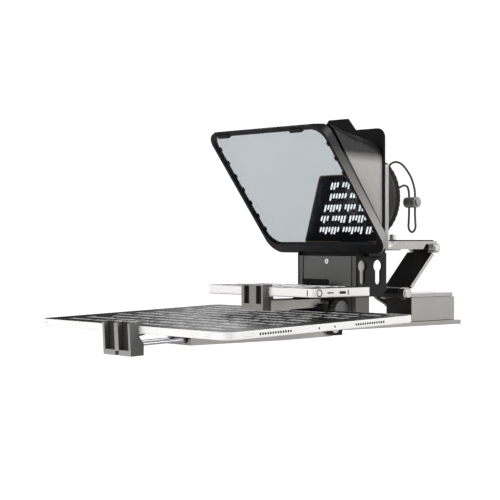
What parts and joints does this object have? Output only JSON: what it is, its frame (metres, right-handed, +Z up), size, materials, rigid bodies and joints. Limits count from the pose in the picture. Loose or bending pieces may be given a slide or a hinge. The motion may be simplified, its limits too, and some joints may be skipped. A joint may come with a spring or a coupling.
{
  "type": "teleprompter",
  "caption": "Hooded beam-splitter glass on a column with a phone clamp and a tablet clamp in front and a folding camera riser on a rail behind.",
  "frame": {"origin": "centre of the stand socket's mouth, in the underside of the rail", "axes": "+X to the right of a speaker facing the glass, +Y from the glass back towards the camera, +Z up; the stand's screw enters along +Z"},
  "size_m": [0.2809, 0.4152, 0.2162],
  "materials": {
    "satin_aluminium": "satin anodised",
    "dark_aluminium": "black anodised",
    "panel_grey": "satin painted",
    "hood_plastic": "fine grained",
    "frame_black": "satin",
    "splitter_glass": "partial mirror",
    "bright_steel": "plated",
    "rod_chrome": "polished",
    "spring_steel": "oiled",
    "brass": "turned",
    "knob_grey": "satin",
    "lever_brown": "satin",
    "pad_rubber": "matte",
    "washer_nylon": "moulded",
    "sleeve_fabric": "woven",
    "cord_fabric": "braided",
    "lock_plastic": "moulded",
    "phone_metal": "polished",
    "tablet_metal": "blasted",
    "screen_glass": "polished"
  },
  "bodies": {
    "base": {"rail": "satin_aluminium", "stand_socket": "brass", "column_frame": "satin_aluminium", "face_plate": "panel_grey", "clamp_mount": "dark_aluminium", "base_screws": "bright_steel", "phone_pivot_bolt": "bright_steel", "tablet_pivot_bolt": "bright_steel"},
    "carriage": {"hood_carriage": "dark_aluminium", "hood_shell": "hood_plastic", "glass_frame": "frame_black", "beam_splitter": "splitter_glass", "glass_clips": "frame_black", "hood_screws": "bright_steel"},
    "carriage_knob": {"carriage_knob": "knob_grey"},
    "back_panel": {"rear_plate": "dark_aluminium", "lens_board": "satin_aluminium", "lens_sleeve": "sleeve_fabric", "drawstring": "cord_fabric", "cord_lock": "lock_plastic", "board_screws": "bright_steel"},
    "cord_lock_button": {"cord_lock_button": "lock_plastic"},
    "phone_clamp": {"phone_clamp_body": "satin_aluminium", "phone_rear_jaw": "frame_black", "phone_rear_pad": "pad_rubber", "phone_springs": "spring_steel"},
    "phone_jaw": {"phone_front_jaw": "satin_aluminium", "phone_front_pad": "pad_rubber", "phone_rods": "rod_chrome"},
    "phone_tilt_knob": {"phone_tilt_knob": "knob_grey"},
    "tablet_clamp": {"tablet_clamp_body": "satin_aluminium", "tablet_rear_jaw": "frame_black", "tablet_rear_pad": "pad_rubber", "tablet_springs": "spring_steel"},
    "tablet_jaw": {"tablet_front_jaw": "satin_aluminium", "tablet_front_pad": "pad_rubber", "tablet_rods": "rod_chrome"},
    "tablet_tilt_knob": {"tablet_tilt_knob": "knob_grey"},
    "camera_block": {"rail_block": "satin_aluminium", "tee_nut": "bright_steel", "lower_plate": "satin_aluminium", "block_screws": "bright_steel", "lever_pin": "bright_steel", "lower_hinge_pin": "bright_steel"},
    "lock_lever": {"lock_lever": "lever_brown"},
    "riser_arm": {"riser_arm": "dark_aluminium"},
    "camera_plate": {"camera_plate": "satin_aluminium", "camera_pad": "pad_rubber", "upper_hinge_pin": "bright_steel"},
    "screw_washer": {"screw_washer": "washer_nylon"},
    "camera_screw": {"camera_screw": "bright_steel"},
    "phone": {"phone_case": "phone_metal", "phone_screen": "screen_glass"},
    "phone_side_key": {"phone_side_key": "phone_metal"},
    "tablet": {"tablet_case": "tablet_metal", "tablet_screen": "screen_glass"},
    "volume_up_key": {"volume_up_key": "tablet_metal"},
    "volume_down_key": {"volume_down_key": "tablet_metal"},
    "power_key": {"power_key": "tablet_metal"}
  },
  "joints": [
    {"name": "hood_height", "type": "slide", "parent": "base", "child": "carriage", "axis": [0, 0, 1], "range_m": [0, 0.02]},
    {"name": "carriage_knob_turn", "type": "hinge", "parent": "carriage", "child": "carriage_knob", "pos_m": [0, -0.01, 0.052], "axis": [0, 1, 0], "continuous": true},
    {"name": "back_panel_lift", "type": "slide", "parent": "carriage", "child": "back_panel", "axis": [0, 0, 1], "range_m": [0, 0.1]},
    {"name": "cord_lock_press", "type": "slide", "parent": "back_panel", "child": "cord_lock_button", "axis": [-1, 0, 0], "range_m": [0, 0.0008], "stiffness_N_per_m": 400, "springref_m": -0.002},
    {"name": "phone_clamp_tilt", "type": "hinge", "parent": "base", "child": "phone_clamp", "pos_m": [0, -0.048, 0.02], "axis": [-1, 0, 0], "range_deg": [0, 15]},
    {"name": "phone_jaw_slide", "type": "slide", "parent": "phone_clamp", "child": "phone_jaw", "axis": [0, -1, 0], "range_m": [0, 0.022], "stiffness_N_per_m": 150, "springref_m": -0.05},
    {"name": "phone_knob_turn", "type": "hinge", "parent": "base", "child": "phone_tilt_knob", "pos_m": [0.026, -0.048, 0.02], "axis": [1, 0, 0], "continuous": true},
    {"name": "tablet_clamp_tilt", "type": "hinge", "parent": "base", "child": "tablet_clamp", "pos_m": [0, -0.05, 0.0024], "axis": [1, 0, 0], "range_deg": [0, 60]},
    {"name": "tablet_jaw_slide", "type": "slide", "parent": "tablet_clamp", "child": "tablet_jaw", "axis": [0, -0.9995, -0.0332], "range_m": [0, 0.028], "stiffness_N_per_m": 150, "springref_m": -0.06},
    {"name": "tablet_knob_turn", "type": "hinge", "parent": "base", "child": "tablet_tilt_knob", "pos_m": [-0.026, -0.05, 0.0024], "axis": [1, 0, 0], "continuous": true},
    {"name": "camera_block_slide", "type": "slide", "parent": "base", "child": "camera_block", "axis": [0, -1, 0], "range_m": [0, 0.02]},
    {"name": "lock_lever_turn", "type": "hinge", "parent": "camera_block", "child": "lock_lever", "pos_m": [-0.02, 0.068, 0.022], "axis": [-1, 0, 0], "range_deg": [0, 90]},
    {"name": "riser_fold", "type": "hinge", "parent": "camera_block", "child": "riser_arm", "pos_m": [0, 0.054, 0.0327], "axis": [-1, 0, 0], "range_deg": [0, 32]},
    {"name": "camera_plate_level", "type": "hinge", "parent": "riser_arm", "child": "camera_plate", "pos_m": [0, 0.09695, 0.07796], "axis": [-1, 0, 0], "range_deg": [-32, 0]},
    {"name": "camera_screw_slide", "type": "slide", "parent": "camera_plate", "child": "screw_washer", "axis": [0, 1, 0], "range_m": [0, 0.018]},
    {"name": "camera_screw_turn", "type": "hinge", "parent": "screw_washer", "child": "camera_screw", "pos_m": [0, 0.05095, 0.08506], "axis": [0, 0, 1], "continuous": true},
    {"name": "phone_slide_out", "type": "slide", "parent": "phone_clamp", "child": "phone", "axis": [1, 0, 0], "range_m": [0, 0.1]},
    {"name": "phone_key_press", "type": "slide", "parent": "phone", "child": "phone_side_key", "axis": [0, -1, 0], "range_m": [0, 0.0003], "stiffness_N_per_m": 1500, "springref_m": -0.0004},
    {"name": "tablet_slide_out", "type": "slide", "parent": "tablet_clamp", "child": "tablet", "axis": [1, 0, 0], "range_m": [0, 0.165]},
    {"name": "volume_up_press", "type": "slide", "parent": "tablet", "child": "volume_up_key", "axis": [0, 0.9995, 0.0332], "range_m": [0, 0.0003], "stiffness_N_per_m": 1500, "springref_m": -0.0004},
    {"name": "volume_down_press", "type": "slide", "parent": "tablet", "child": "volume_down_key", "axis": [0, 0.9995, 0.0332], "range_m": [0, 0.0003], "stiffness_N_per_m": 1500, "springref_m": -0.0004},
    {"name": "power_press", "type": "slide", "parent": "tablet", "child": "power_key", "axis": [-1, 0, 0], "range_m": [0, 0.0003], "stiffness_N_per_m": 1500, "springref_m": -0.0004}
  ],
  "couplings": [
    {"joint": "camera_plate_level", "follows": "riser_fold", "ratio": -1}
  ]
}
